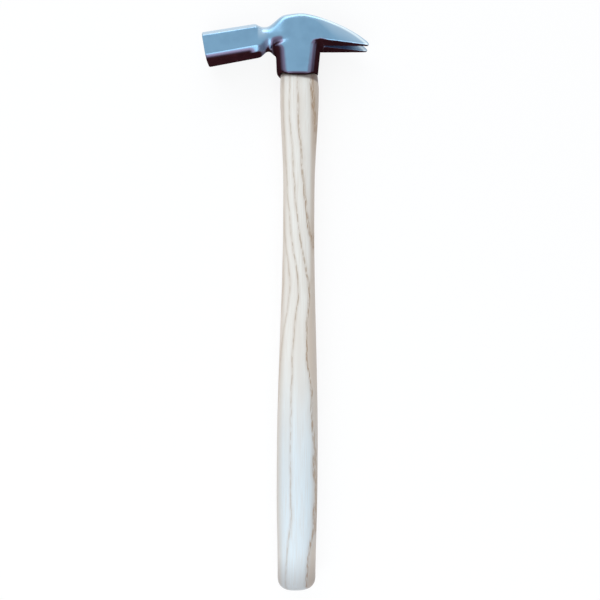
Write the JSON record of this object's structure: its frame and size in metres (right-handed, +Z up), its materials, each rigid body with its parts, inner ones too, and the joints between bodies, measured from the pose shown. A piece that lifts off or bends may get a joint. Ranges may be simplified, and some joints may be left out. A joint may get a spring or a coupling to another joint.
{
  "type": "farrier's driving hammer",
  "caption": "Claw hammer with a slim octagonal poll, short straight split claws, a tapered socket and a long oval wooden handle held by wedges.",
  "frame": {"origin": "centre of the bounding box in plan, on the surface that the hammer lies on", "axes": "+Y along the handle from the butt to the head, -X towards the poll, +X towards the claws, +Z up, square to the cheeks of the head"},
  "size_m": [0.1, 0.3452, 0.0233],
  "materials": {
    "head_steel": "polished forged steel, bluish grey, soft linear polish marks",
    "handle_ash": "pale ash, sanded smooth with a thin clear finish, fine tan grain lines along the handle",
    "wedge_wood": "bare hardwood end grain",
    "wedge_steel": "dark mill-finish steel"
  },
  "bodies": {
    "root": {"head": "head_steel", "handle": "handle_ash", "wood_wedge": "wedge_wood", "steel_wedge_front": "wedge_steel", "steel_wedge_rear": "wedge_steel"}
  },
  "joints": []
}
